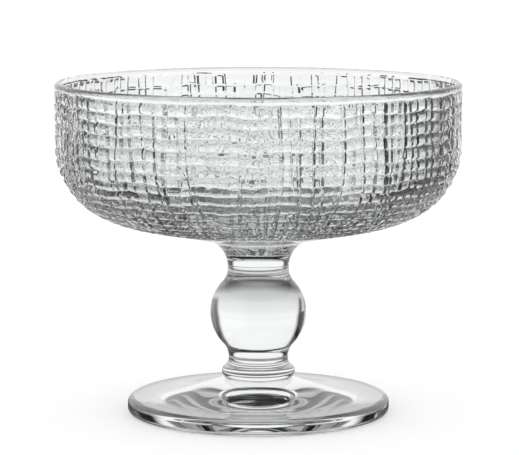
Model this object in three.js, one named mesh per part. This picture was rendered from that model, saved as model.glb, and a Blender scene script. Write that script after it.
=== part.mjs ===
// Sundae dish in clear pressed glass: a wide, straight-sided bowl on a ball stem and a round foot.
// Five turned pieces stand on each other along one axis and are fused at flat round joints.
// Millimetres, +Z up, with the origin at the centre of the plane that the foot rests on.

import * as THREE from "three";

// Foot: a round plate that rises to its middle, with a shallow hollow underneath.
const footRadius = 40.6;
const footEdgeThickness = 4.9;
const footLowerRound = 1.5;
const footUpperRound = 2.1;
const footMiddleHeight = 10.6;
const footLevelRadius = 26;
const restRingWidth = 6.5;
const footHollowDepth = 1.4;

// Foot collar: a bead of glass between the foot and the stem.
const beadStandout = 2.1;
const beadRound = 2.4;
const beadTuck = THREE.MathUtils.degToRad(56);
const beadFillet = 2;

// Stem: a solid ball between two short necks.
const lowerNeckRadius = 9.25;
const lowerNeckLength = 0.9;
const ballRadius = 14.9;
const ballRound = 13.8;
const upperNeckRadius = 9.5;
const upperNeckLength = 0.5;
const neckFillet = 6;

// Bowl collar: a trumpet that opens from the upper neck to the slope of the bowl's underside.
const collarFlare = 9;

// Bowl: an upright wall, a round corner, a flatter belly and a sloping underside.
const bowlRadius = 62.5;
const bowlHeight = 48.6;
const cornerRadius = 23.3;
const cornerTurn = THREE.MathUtils.degToRad(60);
const bellyRadius = 35.6;
const undersideSlope = THREE.MathUtils.degToRad(11.4);

// Inside of the bowl: the shape of the plunger that pressed it, with a round corner and a dished floor.
const bowlWall = 2.4;
const bowlFloorThickness = 6;
const innerCornerRadius = 20.9;
const floorDishRadius = 390;

// Facets round the axis, and steps along each arc of a profile.
const wideFacets = 60;
const slimFacets = 40;
const arcSteps = 6;

const clearGlassColour = 0xeaf0ee;
const clearGlassRoughness = 0.03;
const clearGlassOpacity = 0.35;

const quarterTurn = Math.PI / 2;

function point(radius, height) {
  return new THREE.Vector2(radius, height);
}

// Points on an arc about a centre, in the plane of radius and height.
function arc(centre, radius, fromAngle, toAngle) {
  const clockwise = toAngle < fromAngle;
  const curve = new THREE.EllipseCurve(
    centre.x, centre.y, radius, radius, fromAngle, toAngle, clockwise,
  );
  return curve.getPoints(arcSteps);
}

// The same without its first point, where it goes on from an arc that ends there.
function arcOn(centre, radius, fromAngle, toAngle) {
  return arc(centre, radius, fromAngle, toAngle).slice(1);
}

function angleTowards(from, to) {
  return Math.atan2(to.y - from.y, to.x - from.x);
}

// Height from the middle of a round swelling to the middle of the fillet between it and a neck.
function filletRise(swellingRadius, swellingRound, neckRadius, fillet) {
  const across = neckRadius + fillet - (swellingRadius - swellingRound);
  return Math.sqrt((swellingRound + fillet) ** 2 - across ** 2);
}

function turned(name, profile, facets, baseHeight) {
  const geometry = new THREE.LatheGeometry(profile, facets);
  geometry.rotateX(quarterTurn);
  const material = new THREE.MeshStandardMaterial({
    color: clearGlassColour,
    roughness: clearGlassRoughness,
    metalness: 0,
    transparent: true,
    opacity: clearGlassOpacity,
  });
  const mesh = new THREE.Mesh(geometry, material);
  mesh.name = name;
  mesh.position.z = baseHeight;
  return mesh;
}

// The bead's round underside is cut off level where it meets the foot.
const beadRadius = lowerNeckRadius + beadStandout;
const beadRise = beadRound * Math.sin(beadTuck);
const footSeatRadius = beadRadius - beadRound + beadRound * Math.cos(beadTuck);

function footProfile() {
  const restOuter = footRadius - footLowerRound;
  const restInner = restOuter - restRingWidth;
  const topOuter = footRadius - footUpperRound;
  const lowerEdge = point(restOuter, footLowerRound);
  const upperEdge = point(topOuter, footEdgeThickness - footUpperRound);
  const hollow = new THREE.QuadraticBezierCurve(
    point(0, footHollowDepth),
    point(restInner / 2, footHollowDepth),
    point(restInner, 0),
  );
  const top = new THREE.QuadraticBezierCurve(
    point(topOuter, footEdgeThickness),
    point(footLevelRadius, footEdgeThickness),
    point(footSeatRadius, footMiddleHeight),
  );
  return [
    ...hollow.getPoints(arcSteps),
    ...arc(lowerEdge, footLowerRound, -quarterTurn, 0),
    ...arc(upperEdge, footUpperRound, 0, quarterTurn),
    ...top.getPoints(arcSteps).slice(1),
    point(0, footMiddleHeight),
  ];
}

const beadFilletRise = filletRise(beadRadius, beadRound, lowerNeckRadius, beadFillet);
const footCollarHeight = beadRise + beadFilletRise;

function footCollarProfile() {
  const bead = point(beadRadius - beadRound, beadRise);
  const fillet = point(lowerNeckRadius + beadFillet, footCollarHeight);
  return [
    point(0, 0),
    ...arc(bead, beadRound, -beadTuck, angleTowards(bead, fillet)),
    ...arcOn(fillet, beadFillet, angleTowards(fillet, bead) + 2 * Math.PI, Math.PI),
    point(0, footCollarHeight),
  ];
}

const lowerRise = filletRise(ballRadius, ballRound, lowerNeckRadius, neckFillet);
const upperRise = filletRise(ballRadius, ballRound, upperNeckRadius, neckFillet);
const ballHeight = lowerNeckLength + lowerRise;
const stemHeight = ballHeight + upperRise + upperNeckLength;

function stemProfile() {
  const ball = point(ballRadius - ballRound, ballHeight);
  const lowerFillet = point(lowerNeckRadius + neckFillet, lowerNeckLength);
  const upperFillet = point(upperNeckRadius + neckFillet, stemHeight - upperNeckLength);
  return [
    point(0, 0),
    point(lowerNeckRadius, 0),
    ...arc(lowerFillet, neckFillet, Math.PI, angleTowards(lowerFillet, ball)),
    ...arcOn(ball, ballRound, angleTowards(ball, lowerFillet), angleTowards(ball, upperFillet)),
    ...arcOn(upperFillet, neckFillet, angleTowards(upperFillet, ball), -Math.PI),
    point(upperNeckRadius, stemHeight),
    point(0, stemHeight),
  ];
}

// The flare turns from the upright neck until it lies along the bowl's underside.
const collarHeight = collarFlare * Math.cos(undersideSlope);
const bowlSeatRadius = upperNeckRadius + collarFlare * (1 - Math.sin(undersideSlope));

function bowlCollarProfile() {
  const flare = point(upperNeckRadius + collarFlare, 0);
  return [
    point(0, 0),
    ...arc(flare, collarFlare, Math.PI, quarterTurn + undersideSlope),
    point(0, collarHeight),
  ];
}

function bowlProfile() {
  // Outside, from the wall down: the corner arc, then the belly arc, then the straight underside.
  const bellyEnd = quarterTurn - undersideSlope;
  const cornerAcross = bowlRadius - cornerRadius;
  const bellyAcross = cornerAcross - (bellyRadius - cornerRadius) * Math.cos(cornerTurn);
  const bellyAboveCorner = (bellyRadius - cornerRadius) * Math.sin(cornerTurn);
  const undersideRun = bellyAcross + bellyRadius * Math.cos(bellyEnd) - bowlSeatRadius;
  const bellyHeight = undersideRun * Math.tan(undersideSlope) + bellyRadius * Math.sin(bellyEnd);
  const belly = point(bellyAcross, bellyHeight);
  const corner = point(cornerAcross, bellyHeight - bellyAboveCorner);

  // Inside: the corner arc touches the upright wall and the dish of the floor.
  const innerAcross = bowlRadius - bowlWall - innerCornerRadius;
  const dish = point(0, bowlFloorThickness + floorDishRadius);
  const innerBelowDish = Math.sqrt((floorDishRadius - innerCornerRadius) ** 2 - innerAcross ** 2);
  const innerCorner = point(innerAcross, dish.y - innerBelowDish);
  const dishEnd = angleTowards(dish, innerCorner);

  const lipRound = bowlWall / 2;
  const lip = point(bowlRadius - lipRound, bowlHeight - lipRound);
  return [
    point(0, 0),
    point(bowlSeatRadius, 0),
    ...arc(belly, bellyRadius, -bellyEnd, -cornerTurn),
    ...arcOn(corner, cornerRadius, -cornerTurn, 0),
    ...arc(lip, lipRound, 0, Math.PI),
    ...arc(innerCorner, innerCornerRadius, 0, dishEnd),
    ...arcOn(dish, floorDishRadius, dishEnd, -quarterTurn).slice(0, -1),
    point(0, bowlFloorThickness),
  ];
}

const footCollarBase = footMiddleHeight;
const stemBase = footCollarBase + footCollarHeight;
const bowlCollarBase = stemBase + stemHeight;
const bowlBase = bowlCollarBase + collarHeight;

const sundaeDish = new THREE.Group();
sundaeDish.name = "sundae_dish";
sundaeDish.add(
  turned("foot", footProfile(), wideFacets, 0),
  turned("foot_collar", footCollarProfile(), slimFacets, footCollarBase),
  turned("ball_stem", stemProfile(), slimFacets, stemBase),
  turned("bowl_collar", bowlCollarProfile(), slimFacets, bowlCollarBase),
  turned("bowl", bowlProfile(), wideFacets, bowlBase),
);

export default sundaeDish;
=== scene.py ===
from collections import namedtuple
from math import atan2, cos, pi, radians, sin, sqrt, tan
from random import Random

import bmesh
import bpy
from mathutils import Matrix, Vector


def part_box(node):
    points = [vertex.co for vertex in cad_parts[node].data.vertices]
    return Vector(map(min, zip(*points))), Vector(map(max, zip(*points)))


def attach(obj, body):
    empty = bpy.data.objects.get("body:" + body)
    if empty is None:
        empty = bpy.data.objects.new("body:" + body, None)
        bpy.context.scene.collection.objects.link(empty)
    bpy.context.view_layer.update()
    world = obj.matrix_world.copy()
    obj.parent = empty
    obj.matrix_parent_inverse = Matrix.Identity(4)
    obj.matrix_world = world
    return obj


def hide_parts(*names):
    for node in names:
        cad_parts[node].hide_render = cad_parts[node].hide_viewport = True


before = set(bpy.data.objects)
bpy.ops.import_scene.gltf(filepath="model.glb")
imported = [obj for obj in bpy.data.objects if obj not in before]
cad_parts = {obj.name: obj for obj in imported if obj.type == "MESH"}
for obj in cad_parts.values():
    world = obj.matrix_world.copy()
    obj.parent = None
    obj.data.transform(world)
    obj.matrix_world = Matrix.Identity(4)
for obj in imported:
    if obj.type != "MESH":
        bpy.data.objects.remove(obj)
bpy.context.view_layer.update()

scene = bpy.context.scene


# Foot: the round plate that the dish stands on, clear soda-lime glass pressed in a mould.
# It is drawn up to its middle, where the stem was fused on while hot, and it rests on a flat
# ring round a shallow hollow. Fire polishing left its edge round and its skin slightly rippled.
mm = 0.001
foot_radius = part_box("foot")[1].x
foot_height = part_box("foot")[1].z
foot_edge_thickness = 4.9 * mm
foot_lower_round = 1.5 * mm
foot_upper_round = 2.1 * mm
foot_level_radius = 26 * mm
rest_ring_width = 6.5 * mm
foot_hollow_depth = 1.4 * mm
lower_neck_radius = 9.25 * mm
bead_standout = 2.1 * mm
bead_round = 2.4 * mm
bead_tuck = radians(56)
bead_radius = lower_neck_radius + bead_standout
bead_seat_radius = bead_radius - bead_round + bead_round * cos(bead_tuck)
turning_steps = 192
weld_distance = 1e-7
flat_tolerance = 1e-6
glass_colour = "#FDFFFE"
glass_ior = 1.52


def linear(colour):
    """An sRGB hex colour as linear red, green, blue and full alpha."""
    shares = [int(colour[k:k + 2], 16) / 255 for k in (1, 3, 5)]
    return [s / 12.92 if s <= 0.04045 else ((s + 0.055) / 1.055) ** 2.4 for s in shares] + [1.0]


def add_node(tree, kind, settings, links=()):
    """A shader node, its settings by name or by socket, and the outputs that its sockets take."""
    made = tree.nodes.new(kind)
    for name, value in settings.items():
        if name == "stops":
            ramp = made.color_ramp.elements
            for place, level in value[1:-1]:
                ramp.new(place)
            for stop, (place, level) in zip(ramp, value):
                stop.position = place
                stop.color = (level, level, level, 1)
        elif isinstance(name, str) and hasattr(made, name):
            setattr(made, name, value)
        else:
            made.inputs[name].default_value = value
    for socket, source in dict(links).items():
        tree.links.new(source, made.inputs[socket])
    return made


def pressed_glass(name, ripple_size, ripple_depth):
    """Clear soda-lime glass, pressed and fire-polished: colourless and bright, with no grain of its
    own. The eye sees what it bends, and a slow ripple of the skin that makes those lines waver."""
    material = bpy.data.materials.new(name)
    material.use_nodes = True
    tree = material.node_tree
    place = add_node(tree, "ShaderNodeTexCoord", {})
    ripple = add_node(tree, "ShaderNodeTexNoise", {"Scale": 1 / ripple_size, "Detail": 1.0},
                      {"Vector": place.outputs["Object"]})
    skin = add_node(tree, "ShaderNodeBump", {"Strength": 1.0, "Distance": ripple_depth},
                    {"Height": ripple.outputs[0]})
    shader = tree.nodes["Principled BSDF"]
    shader.inputs["Base Color"].default_value = linear(glass_colour)
    shader.inputs["Roughness"].default_value = 0.0
    shader.inputs["IOR"].default_value = glass_ior
    shader.inputs["Transmission Weight"].default_value = 1.0
    tree.links.new(skin.outputs[0], shader.inputs["Normal"])
    return material


def fused_joint():
    """Where two hot gathers of glass ran together: nothing is left of the faces that met."""
    material = bpy.data.materials.new("fused_joint")
    material.use_nodes = True
    tree = material.node_tree
    tree.nodes.remove(tree.nodes["Principled BSDF"])
    clear = add_node(tree, "ShaderNodeBsdfTransparent", {})
    tree.links.new(clear.outputs[0], tree.nodes["Material Output"].inputs["Surface"])
    return material


def arc(centre, radius, start, end, steps):
    """Points of (radius, height) round a centre, from one angle to another."""
    turns = [start + (end - start) * k / steps for k in range(steps + 1)]
    return [(centre[0] + radius * cos(t), centre[1] + radius * sin(t)) for t in turns]


def sweep(start, pull, end, steps):
    """Points of a curve that leaves its start towards the pull and comes to its end from there."""
    shares = [k / steps for k in range(steps + 1)]
    return [tuple((1 - t) ** 2 * a + 2 * t * (1 - t) * b + t * t * c
                  for a, b, c in zip(start, pull, end)) for t in shares]


def turned(outline):
    """A bmesh spun about Z from an outline of (radius, height) that starts and ends on the axis."""
    bm = bmesh.new()
    points = [bm.verts.new((r, 0, z)) for r, z in outline]
    edges = [bm.edges.new(pair) for pair in zip(points, points[1:])]
    bmesh.ops.spin(bm, geom=points + edges, cent=(0, 0, 0), axis=(0, 0, 1), angle=2 * pi,
                   steps=turning_steps, use_merge=True)
    bmesh.ops.remove_doubles(bm, verts=bm.verts, dist=weld_distance)
    bmesh.ops.recalc_face_normals(bm, faces=bm.faces)
    return bm


def glass_piece(name, bm, glass, joint_heights, node):
    """Makes the object: glass all over, but clear on the flat faces that were fused."""
    for face in bm.faces:
        heights = [v.co.z for v in face.verts]
        fused = any(max(abs(z - joint) for z in heights) < flat_tolerance for joint in joint_heights)
        face.material_index = 1 if fused else 0
        face.smooth = not fused
    mesh = bpy.data.meshes.new(name)
    bm.to_mesh(mesh)
    bm.free()
    mesh.materials.append(glass)
    mesh.materials.append(joint_faces)
    piece = bpy.data.objects.new(name, mesh)
    scene.collection.objects.link(piece)
    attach(piece, "root")
    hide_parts(node)


joint_faces = fused_joint()
foot_glass = pressed_glass("foot_pressed_glass", ripple_size=22 * mm, ripple_depth=0.03 * mm)
rest_outer = foot_radius - foot_lower_round
rest_inner = rest_outer - rest_ring_width
foot_shoulder = foot_radius - foot_upper_round
foot_outline = sweep((0, foot_hollow_depth), (rest_inner / 2, foot_hollow_depth), (rest_inner, 0),
                     steps=20)
foot_outline += arc((rest_outer, foot_lower_round), foot_lower_round, -pi / 2, 0, steps=8)
foot_outline += arc((foot_shoulder, foot_edge_thickness - foot_upper_round), foot_upper_round,
                    0, pi / 2, steps=10)
foot_outline += sweep((foot_shoulder, foot_edge_thickness), (foot_level_radius, foot_edge_thickness),
                      (bead_seat_radius, foot_height), steps=32)[1:]
foot_outline += [(0, foot_height)]
glass_piece("pressed_foot", turned(foot_outline), foot_glass, [foot_height], "foot")


# Foot collar: the bead of clear glass between the foot and the stem, pressed with the stem.
# Its underside tucks in to the foot, and a small fillet runs up from it to the lower neck.
collar_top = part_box("foot_collar")[1].z
bead_fillet = 2 * mm
bead_height = foot_height + bead_round * sin(bead_tuck)
stem_glass = pressed_glass("stem_pressed_glass", ripple_size=16 * mm, ripple_depth=0.015 * mm)


def direction(start, end):
    """The angle of the line from one point of an outline to another."""
    return atan2(end[1] - start[1], end[0] - start[0])


bead_centre = (bead_radius - bead_round, bead_height)
fillet_centre = (lower_neck_radius + bead_fillet, collar_top)
collar_outline = [(0, foot_height)]
collar_outline += arc(bead_centre, bead_round, -bead_tuck, direction(bead_centre, fillet_centre),
                      steps=18)
collar_outline += arc(fillet_centre, bead_fillet, direction(fillet_centre, bead_centre) + 2 * pi, pi,
                      steps=10)[1:]
collar_outline += [(0, collar_top)]
glass_piece("pressed_foot_collar", turned(collar_outline), stem_glass, [foot_height, collar_top],
            "foot_collar")


# Ball stem: the solid ball between two short necks, one gather of clear glass pressed in a
# two-part mould. Fillets lead from the ball into both necks, so there is no edge to hold dirt.
stem_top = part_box("ball_stem")[1].z
ball_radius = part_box("ball_stem")[1].x
ball_round = 13.8 * mm
lower_neck_length = 0.9 * mm
upper_neck_radius = 9.5 * mm
upper_neck_length = 0.5 * mm
neck_fillet = 6 * mm
ball_reach = neck_fillet + ball_round
ball_offset = ball_radius - ball_round
lower_rise = sqrt(ball_reach ** 2 - (lower_neck_radius + neck_fillet - ball_offset) ** 2)
ball_centre = (ball_offset, collar_top + lower_neck_length + lower_rise)
lower_fillet = (lower_neck_radius + neck_fillet, collar_top + lower_neck_length)
upper_fillet = (upper_neck_radius + neck_fillet, stem_top - upper_neck_length)
stem_outline = [(0, collar_top), (lower_neck_radius, collar_top)]
stem_outline += arc(lower_fillet, neck_fillet, pi, direction(lower_fillet, ball_centre), steps=16)
stem_outline += arc(ball_centre, ball_round, direction(ball_centre, lower_fillet),
                    direction(ball_centre, upper_fillet), steps=64)[1:]
stem_outline += arc(upper_fillet, neck_fillet, direction(upper_fillet, ball_centre), -pi, steps=16)[1:]
stem_outline += [(upper_neck_radius, stem_top), (0, stem_top)]
glass_piece("pressed_ball_stem", turned(stem_outline), stem_glass, [collar_top, stem_top],
            "ball_stem")


# Bowl collar: the trumpet of clear glass that opens from the upper neck and runs into the bowl's
# underside, where it was fused on.
bowl_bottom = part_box("bowl")[0].z
bowl_seat_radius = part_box("bowl_collar")[1].x
collar_flare = 9 * mm
underside_slope = radians(11.4)
trumpet_outline = [(0, stem_top)]
trumpet_outline += arc((upper_neck_radius + collar_flare, stem_top), collar_flare,
                       pi, pi / 2 + underside_slope, steps=24)
trumpet_outline += [(0, bowl_bottom)]
glass_piece("pressed_bowl_collar", turned(trumpet_outline), stem_glass, [stem_top, bowl_bottom],
            "bowl_collar")


# Bowl: straight-sided, with a round corner, a sloping underside and a smooth dished inside, pressed
# from clear glass. The mould's outside was cut by hand like coarse linen: rows of small raised
# blocks, with wavering grooves between them, from just under the lip to the sloping underside.
bowl_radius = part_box("bowl")[1].x
bowl_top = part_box("bowl")[1].z
bowl_wall = 2.4 * mm
corner_round = 23.3 * mm
corner_turn = radians(60)
belly_round = 35.6 * mm
bowl_floor = 6 * mm
inner_corner = 20.9 * mm
floor_dish = 390 * mm
lip_round = bowl_wall / 2
bend = pi / 2 - underside_slope
corner_radius = bowl_radius - corner_round
belly_radius = corner_radius - (belly_round - corner_round) * cos(corner_turn)
underside_run = belly_radius + belly_round * cos(bend) - bowl_seat_radius
belly_height = bowl_bottom + underside_run * tan(underside_slope) + belly_round * sin(bend)
corner_height = belly_height - (belly_round - corner_round) * sin(corner_turn)
wall_end = bowl_top - lip_round - corner_height
corner_end = wall_end + corner_round * corner_turn
belly_end = corner_end + belly_round * (bend - corner_turn)
outside_end = belly_end + underside_run / cos(underside_slope)

# The linen: its columns go round the bowl, and its rows and ends are lengths along the outside
linen_columns = 116
lines_per_column = 4
column_groove = 0.3 * mm
column_flank = 0.65 * mm
column_depth = 0.6 * mm
linen_row_pitch = 3.35 * mm
row_groove = 0.35 * mm
row_flank = 0.6 * mm
row_depth = 0.7 * mm
row_deepening = 1.2
deepening_start = 23 * mm
deepening_run = 5 * mm
row_end = 36 * mm
row_fade = 3 * mm
row_rest = 0.4
lip_edge = 0.54 * mm
lip_band = 0.9 * mm
linen_end = 58 * mm
linen_fade = 5 * mm
plain_steps = 8
grid_half = 0.5

# The cutter's hand: shares by which widths and depths differ, and lengths by which lines stray. A
# column's shift is a count of swells round the bowl and their size. A row's wave is a count round the
# bowl, its share of the waver, and how fast it turns with the length along the outside.
hand = Random(8)
column_spread = 0.3
column_sway = 0.10
sway_swells = 2
sway_start = 1
column_strength_spread = 0.5
groove_spread = 0.3
flank_spread = 0.6
flank_limit = 0.42
row_spread = 0.14
depth_spread = 0.4
block_lows = 0.12 * mm
hand_slip = 0.1 * mm
hand_dent = 0.02 * mm
column_wander = 0.6 * mm
wander_length = 9 * mm
wander_shifts = [(5, 2.1), (11, 3)]
row_waver = 0.45 * mm
row_waves = [(17, 0.6, 50), (29, 0.4, -90), (7, 0.35, 160)]
waver_lip_fade = 3 * mm
waver_seat_fade = 6 * mm


def outside(along):
    """The bowl's outside at a length along it from the lip: radius, height and the turn of its normal."""
    if along < wall_end:
        return bowl_radius, bowl_top - lip_round - along, 0.0
    if along < corner_end:
        turn = (along - wall_end) / corner_round
        return corner_radius + corner_round * cos(turn), corner_height - corner_round * sin(turn), turn
    if along < belly_end:
        turn = corner_turn + (along - corner_end) / belly_round
        return belly_radius + belly_round * cos(turn), belly_height - belly_round * sin(turn), turn
    down = outside_end - along
    return (bowl_seat_radius + down * cos(underside_slope),
            bowl_bottom + down * sin(underside_slope), bend)


def spread(share):
    """A factor that differs from one by at most that share."""
    return 1 + hand.uniform(-share, share)


def eased(share):
    """A smooth step from 0 to 1."""
    share = min(max(share, 0), 1)
    return share * share * (3 - 2 * share)


# The columns' lines, four to a column: both edges of its groove and both edges of its blocks
column_widths = [spread(column_spread)
                 + column_sway * sin(2 * pi * sway_swells * k / linen_columns + sway_start)
                 for k in range(linen_columns)]
column_turn = 2 * pi / sum(column_widths)
line_turns = []
line_in_groove = []
column_start = 0.0
for width in column_widths:
    groove = column_groove * spread(groove_spread) / bowl_radius
    widest_flank = flank_limit * (width * column_turn - groove)
    left_flank = min(column_flank * spread(flank_spread) / bowl_radius, widest_flank)
    right_flank = min(column_flank * spread(flank_spread) / bowl_radius, widest_flank)
    column_end = column_start + width * column_turn
    line_turns += [column_start, column_start + groove, column_start + groove + left_flank,
                   column_end - right_flank]
    line_in_groove += [True, True, False, False]
    column_start = column_end
lines = len(line_turns)

# The rows from the lip down, four to a row of blocks in the same way, with plain glass at both ends
LinenRow = namedtuple("LinenRow", "along in_relief in_groove block")
linen_rows = [LinenRow(0.0, False, False, 0), LinenRow(lip_edge, False, False, 0)]
along = lip_band
block = 0
while along + linen_row_pitch < linen_end:
    pitch = linen_row_pitch * spread(row_spread)
    upper_flank = row_flank * spread(flank_spread)
    lower_flank = row_flank * spread(flank_spread)
    linen_rows.append(LinenRow(along, True, True, block))
    linen_rows.append(LinenRow(along + row_groove, True, True, block))
    linen_rows.append(LinenRow(along + row_groove + upper_flank, True, False, block))
    linen_rows.append(LinenRow(along + pitch - lower_flank, True, False, block))
    along += pitch
    block += 1
linen_rows.append(LinenRow(along, True, True, block))
plain_start = along + row_groove
for k in range(plain_steps + 1):
    plain = plain_start + (outside_end - plain_start) * k / plain_steps
    linen_rows.append(LinenRow(plain, False, False, 0))

# What the hand gave each wave, column, block and crossing. The two edges of a groove or a block slip
# together, and each crossing has a dent of its own.
wave_phases = [hand.uniform(0, 2 * pi) for wave in row_waves]
column_strength = [spread(column_strength_spread) for c in range(linen_columns)]
block_depth = [[spread(depth_spread) for c in range(linen_columns)] for b in range(block + 1)]
block_low = [[hand.uniform(0, block_lows) for c in range(linen_columns)] for b in range(block + 1)]
dents = [[hand.gauss(0, 1) for line in range(lines)] for row in linen_rows]
slips = [[(hand.gauss(0, 1), hand.gauss(0, 1)) for pair in range(lines // 2)]
         for row_pair in range(len(linen_rows) // 2 + 1)]


def row_shift(along, turn):
    """How far a row wavers along the outside, held straight at the lip and at the seat."""
    waver = sum(share * sin(count * turn + phase + lean * along)
                for (count, share, lean), phase in zip(row_waves, wave_phases))
    held = eased(along / waver_lip_fade) * eased((outside_end - along) / waver_seat_fade)
    return row_waver * waver * held


def column_shift(along, turn):
    """How far a column wanders round the bowl on its way down."""
    shift = sum(size * sin(count * turn) for count, size in wander_shifts)
    return column_wander * sin(along / wander_length + shift)


def relief_depth(mark, line):
    """How deep a crossing of a row and a line lies under the highest threads."""
    row = linen_rows[mark]
    column = line // lines_per_column
    low = block_low[row.block][column]
    across = row_depth * block_depth[row.block][column] if row.in_groove else low
    across *= row_rest + (1 - row_rest) * min(max((row_end - row.along) / row_fade, 0), 1)
    across *= 1 + row_deepening * eased((row.along - deepening_start) / deepening_run)
    upward = low
    if line_in_groove[line]:
        upward = column_depth * column_strength[column] * block_depth[row.block][column]
    fade = min((linen_end - row.along) / linen_fade, 1)
    return max(max(across * fade, upward * fade) + hand_dent * dents[mark][line], 0)


# The bowl's outline, from its middle underneath, up the outside, over the lip and down inside
inner_radius = bowl_radius - bowl_wall - inner_corner
dish_height = bowl_bottom + bowl_floor + floor_dish
inner_height = dish_height - sqrt((floor_dish - inner_corner) ** 2 - inner_radius ** 2)
dish_start = direction((0, dish_height), (inner_radius, inner_height))
bowl_outline = [(0, bowl_bottom)]
bowl_outline += [outside(row.along)[:2] for row in reversed(linen_rows)]
bowl_outline += arc((bowl_radius - lip_round, bowl_top - lip_round), lip_round, 0, pi, steps=10)[1:]
bowl_outline += arc((inner_radius, inner_height), inner_corner, 0, dish_start, steps=24)
bowl_outline += arc((0, dish_height), floor_dish, dish_start, -pi / 2, steps=12)[1:-1]
bowl_outline += [(0, bowl_bottom + bowl_floor)]
rings = len(bowl_outline)
ring_marks = dict(enumerate(reversed(range(len(linen_rows))), start=1))

# A flat grid is wrapped round the outline, a ring of it for each point, and the linen is sunk into it
bowl_mesh = bmesh.new()
in_linen = bowl_mesh.verts.layers.int.new("in_linen")
bmesh.ops.create_grid(bowl_mesh, x_segments=lines, y_segments=rings - 1, size=grid_half)
for vertex in bowl_mesh.verts:
    line = round((vertex.co.x + grid_half) * lines) % lines
    ring = round((vertex.co.y + grid_half) * (rings - 1))
    turn = line_turns[line]
    radius, height = bowl_outline[ring]
    if ring in ring_marks:
        mark = ring_marks[ring]
        row = linen_rows[mark]
        slip_along, slip_round = slips[mark // 2][line // 2] if row.in_relief else (0, 0)
        place = row.along + row_shift(row.along, turn) + hand_slip * slip_along
        turn += (column_shift(row.along, turn) + hand_slip * slip_round) / bowl_radius
        radius, height, lean = outside(min(max(place, 0), outside_end))
        if row.in_relief:
            vertex[in_linen] = 1 + line
            depth = relief_depth(mark, line)
            radius -= depth * cos(lean)
            height += depth * sin(lean)
    vertex.co = (radius * cos(turn), radius * sin(turn), height)
bmesh.ops.remove_doubles(bowl_mesh, verts=bowl_mesh.verts, dist=weld_distance)
bmesh.ops.recalc_face_normals(bowl_mesh, faces=bowl_mesh.faces)

# The edges that run down a line of the linen are crisp, and all others are fire-polished
for edge in bowl_mesh.edges:
    ends = [vertex[in_linen] for vertex in edge.verts]
    edge.smooth = ends[0] == 0 or ends[0] != ends[1]

bowl_glass = pressed_glass("bowl_pressed_glass", ripple_size=14 * mm, ripple_depth=0.01 * mm)
glass_piece("pressed_bowl", bowl_mesh, bowl_glass, [bowl_bottom], "bowl")


# Floor: a wide sheet of matt white board that the dish stands on, just below its resting ring.
# Where the glass shows it, the board glows instead with painted levels: a painted shadow dark round the
# foot, and further off painted white and dark parts in place of black cards, which draw the edges of clear
# glass.
floor_radius = 3.0
floor_drop = 0.1 * mm
floor_sides = 96
floor_colour = "#FBFBFB"
floor_lift = 0.14
light_colour = "#FFFFFF"

# How light comes to the eye decides what it shows: through one body of glass, through both walls of
# the bowl, or turned round inside the glass. One body has two surfaces, and counts as turned round
# only after more than three turns inside; through both walls, any turn inside counts.
one_body_surfaces = 2
one_body_turns = 3
count_margin = 0.5

# The floor's level where the glass shows it, by the distance from the dish's middle in metres: a painted
# shadow of the dish, dark in a ring round the foot, that the board glows with
floor_level_with_painted_shadow = {
    "one_body": [(0, 0.4), (0.041, 0.4), (0.044, 0.08), (0.055, 0.1), (0.075, 0.6), (0.12, 0.8),
                 (0.3, 0.95), (1, 0.95)],
    "both_walls": [(0, 0.05), (0.040, 0.06), (0.047, 0.75), (0.12, 0.85), (0.3, 0.95), (1, 0.95)],
    "turned_round": [(0, 0.5), (0.041, 0.5), (0.046, 0.02), (0.06, 0.02), (0.075, 0.3), (0.25, 0.3),
                     (0.3, 0.12), (1, 0.12)],
}

# The white parts painted on the floor near the dish, and the white parts of the studio, as start, end and
# level, in degrees from +Y towards -X. It is dark between them, with a soft edge; on the floor that dark is
# painted shade in place of black cards.
floor_painted_white_and_dark = {
    "one_body": [(-44, 44, 1), (53, 68, 0.75), (195, 250, 0.8)],
    "both_walls": [(-40, 40, 1), (50, 68, 0.75), (195, 250, 0.8)],
    "turned_round": [(-20, 20, 1)],
}
studio_white = {
    "one_body": [(-44, 44, 1), (70, 112, 1), (190, 255, 1)],
    "both_walls": [(-42, 42, 1), (70, 112, 1), (190, 255, 1)],
    "turned_round": [(-20, 20, 1)],
}
soft_edge = 4
full_turn = 360

# How much the floor takes the painted white and dark parts, and how much of them it copies from the
# studio's, by the same distance
painted_parts_share = [(0, 0), (0.075, 0), (0.1, 1), (1, 1)]
studio_share = [(0, 0), (0.32, 0), (0.45, 1), (1, 1)]


def ramp_round(white):
    """Ramp stops for a turn of the studio with these white parts, dark between them."""
    stops = []
    for start, end, level in white:
        for shift in (0, full_turn):
            stops += [(start + shift - soft_edge, 0), (start + shift + soft_edge, level)]
            stops += [(end + shift - soft_edge, level), (end + shift + soft_edge, 0)]
    stops = sorted((place / full_turn, level) for place, level in stops)
    before = [level for place, level in stops if place < 0]
    level = before[-1] if before else 0
    return [(0, level)] + [(place, level) for place, level in stops if 0 < place < 1] + [(1, level)]


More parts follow.
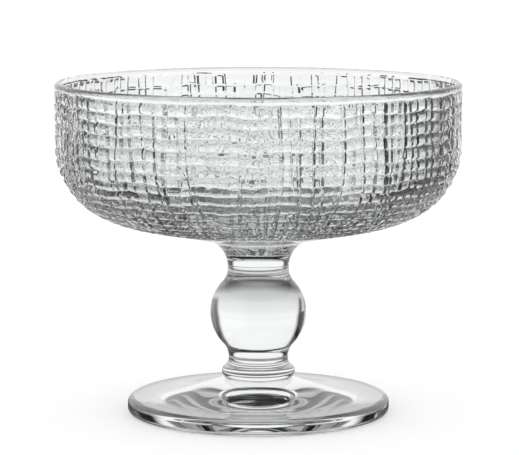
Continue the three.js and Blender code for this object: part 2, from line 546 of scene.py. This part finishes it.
def seen_by_path(tree, path, measure, stops):
    """A level from a measure of the place, by the ramp for the way that the light came. Socket 0 of a
    Mix node says how much of socket 3 takes the place of socket 2."""
    ramps = {way: add_node(tree, "ShaderNodeValToRGB", {"stops": stops[way]}, {0: measure}).outputs[0]
             for way in stops}
    walls = add_node(tree, "ShaderNodeMath",
                     {"operation": "GREATER_THAN", 1: one_body_surfaces + count_margin},
                     {0: path.outputs["Transmission Depth"]})
    straight = add_node(tree, "ShaderNodeMix", {"data_type": "FLOAT"},
                        {0: walls.outputs[0], 2: ramps["one_body"], 3: ramps["both_walls"]})
    turns = add_node(tree, "ShaderNodeMath", {"operation": "MULTIPLY_ADD", 1: one_body_turns},
                     {0: walls.outputs[0], 2: path.outputs["Glossy Depth"]})
    round_inside = add_node(tree, "ShaderNodeMath",
                            {"operation": "GREATER_THAN", 1: one_body_turns + count_margin},
                            {0: turns.outputs[0]})
    seen = add_node(tree, "ShaderNodeMix", {"data_type": "FLOAT"},
                    {0: round_inside.outputs[0], 2: straight.outputs[0], 3: ramps["turned_round"]})
    return seen.outputs[0]


def white_seen(tree, path, place, white):
    """The level of the white and dark parts at a place, all white for light mirrored off the outside."""
    parts = add_node(tree, "ShaderNodeSeparateXYZ", {}, {0: place})
    left = add_node(tree, "ShaderNodeMath", {"operation": "MULTIPLY", 1: -1.0}, {0: parts.outputs["X"]})
    angle = add_node(tree, "ShaderNodeMath", {"operation": "ARCTAN2"},
                     {0: left.outputs[0], 1: parts.outputs["Y"]})
    turns = add_node(tree, "ShaderNodeMath", {"operation": "DIVIDE", 1: 2 * pi}, {0: angle.outputs[0]})
    azimuth = add_node(tree, "ShaderNodeMath", {"operation": "WRAP", 1: 1.0, 2: 0.0}, {0: turns.outputs[0]})
    stops = {way: ramp_round(white[way]) for way in white}
    through = seen_by_path(tree, path, azimuth.outputs[0], stops)
    entered = add_node(tree, "ShaderNodeMath", {"operation": "GREATER_THAN", 1: count_margin},
                       {0: path.outputs["Transmission Depth"]})
    return add_node(tree, "ShaderNodeMix", {"data_type": "FLOAT", 2: 1.0},
                    {0: entered.outputs[0], 3: through}).outputs[0]


def in_glass(tree, path):
    """1 for light that reaches the eye by the glass alone, and 0 for what lights the floor."""
    bent = add_node(tree, "ShaderNodeMath", {"operation": "MAXIMUM"},
                    {0: path.outputs["Is Glossy Ray"], 1: path.outputs["Is Transmission Ray"]})
    direct = add_node(tree, "ShaderNodeMath", {"operation": "LESS_THAN", 1: count_margin},
                      {0: path.outputs["Diffuse Depth"]})
    return add_node(tree, "ShaderNodeMath", {"operation": "MULTIPLY"},
                    {0: bent.outputs[0], 1: direct.outputs[0]}).outputs[0]


def white_board_with_painted_shade():
    """Uncoated white card: even and without gloss, lifted a little to the eye so that it reads as white.
    Where the glass shows it, it glows instead with the painted levels above: a painted shadow and painted
    white and dark parts."""
    material = bpy.data.materials.new("white_board_with_painted_shade")
    material.use_nodes = True
    tree = material.node_tree
    path = add_node(tree, "ShaderNodeLightPath", {})
    place = add_node(tree, "ShaderNodeTexCoord", {}).outputs["Object"]
    distance = add_node(tree, "ShaderNodeVectorMath", {"operation": "LENGTH"}, {0: place}).outputs["Value"]
    like_studio = add_node(tree, "ShaderNodeValToRGB", {"stops": studio_share}, {0: distance})
    white = add_node(tree, "ShaderNodeMix", {"data_type": "FLOAT"},
                     {0: like_studio.outputs[0], 2: white_seen(tree, path, place, floor_painted_white_and_dark),
                      3: white_seen(tree, path, place, studio_white)})
    in_parts = add_node(tree, "ShaderNodeValToRGB", {"stops": painted_parts_share}, {0: distance})
    parts = add_node(tree, "ShaderNodeMix", {"data_type": "FLOAT", 2: 1.0},
                     {0: in_parts.outputs[0], 3: white.outputs[0]})
    # The level that the board glows with for the glass: its painted shadow times its painted white and dark
    # parts
    level = add_node(tree, "ShaderNodeMath", {"operation": "MULTIPLY"},
                     {0: seen_by_path(tree, path, distance, floor_level_with_painted_shadow), 1: parts.outputs[0]})
    painted_glow_in_glass = add_node(tree, "ShaderNodeEmission", {"Color": linear(light_colour)},
                              {"Strength": level.outputs[0]})
    lift = add_node(tree, "ShaderNodeMath", {"operation": "MULTIPLY", 1: floor_lift},
                    {0: path.outputs["Is Camera Ray"]})
    matt = tree.nodes["Principled BSDF"]
    matt.inputs["Base Color"].default_value = linear(floor_colour)
    matt.inputs["Roughness"].default_value = 1.0
    matt.inputs["Specular IOR Level"].default_value = 0.0
    matt.inputs["Emission Color"].default_value = linear(light_colour)
    tree.links.new(lift.outputs[0], matt.inputs["Emission Strength"])
    shown = add_node(tree, "ShaderNodeMixShader", {},
                     {0: in_glass(tree, path), 1: matt.outputs[0], 2: painted_glow_in_glass.outputs[0]})
    tree.links.new(shown.outputs[0], tree.nodes["Material Output"].inputs["Surface"])
    return material


board = bmesh.new()
bmesh.ops.create_circle(board, cap_ends=True, radius=floor_radius, segments=floor_sides)
bmesh.ops.translate(board, verts=board.verts, vec=(0, 0, -floor_drop))
floor_mesh = bpy.data.meshes.new("floor")
board.to_mesh(floor_mesh)
board.free()
floor_mesh.materials.append(white_board_with_painted_shade())
floor = bpy.data.objects.new("floor", floor_mesh)
scene.collection.objects.link(floor)


# Studio: a white room that lights the dish evenly from all round. The glass shows it as white
# backdrops with dark gaps between them, under a dark ceiling that starts at these heights, where 0 is
# level and 1 straight overhead.
ceiling = {
    "one_body": [(0, 1), (0.65, 1), (0.78, 0), (1, 0)],
    "both_walls": [(0, 1), (0.5, 1), (0.65, 0), (1, 0)],
    "turned_round": [(0, 1), (0.5, 1), (0.65, 0), (1, 0)],
}
most_bounces = 24
studio = bpy.data.worlds.new("studio")
scene.world = studio
studio.use_nodes = True
tree = studio.node_tree
path = add_node(tree, "ShaderNodeLightPath", {})
place = add_node(tree, "ShaderNodeTexCoord", {}).outputs["Generated"]
overhead = add_node(tree, "ShaderNodeSeparateXYZ", {}, {0: place}).outputs["Z"]
seen = add_node(tree, "ShaderNodeMath", {"operation": "MULTIPLY"},
                {0: white_seen(tree, path, place, studio_white),
                 1: seen_by_path(tree, path, overhead, ceiling)})
level = add_node(tree, "ShaderNodeMix", {"data_type": "FLOAT", 2: 1.0},
                 {0: in_glass(tree, path), 3: seen.outputs[0]})
tree.nodes["Background"].inputs["Color"].default_value = linear(light_colour)
tree.links.new(level.outputs[0], tree.nodes["Background"].inputs["Strength"])
scene.cycles.max_bounces = most_bounces
scene.cycles.transmission_bounces = most_bounces
scene.cycles.glossy_bounces = most_bounces


# Camera: a little above the dish and looking slightly down on it, with a long lens, at the
# photograph's viewing angle.
camera_height = 163.45 * mm
camera_distance = 797 * mm
camera_right = 0.37 * mm
camera_down = radians(7.585)
camera_data = bpy.data.cameras.new("camera")
camera_data.sensor_width = 36
camera_data.sensor_fit = "HORIZONTAL"
camera_data.lens = 180.55
camera = bpy.data.objects.new("camera", camera_data)
camera.location = (camera_right, -camera_distance, camera_height)
camera.rotation_euler = (pi / 2 - camera_down, 0, 0)
scene.collection.objects.link(camera)
scene.camera = camera
scene.view_settings.view_transform = "Standard"
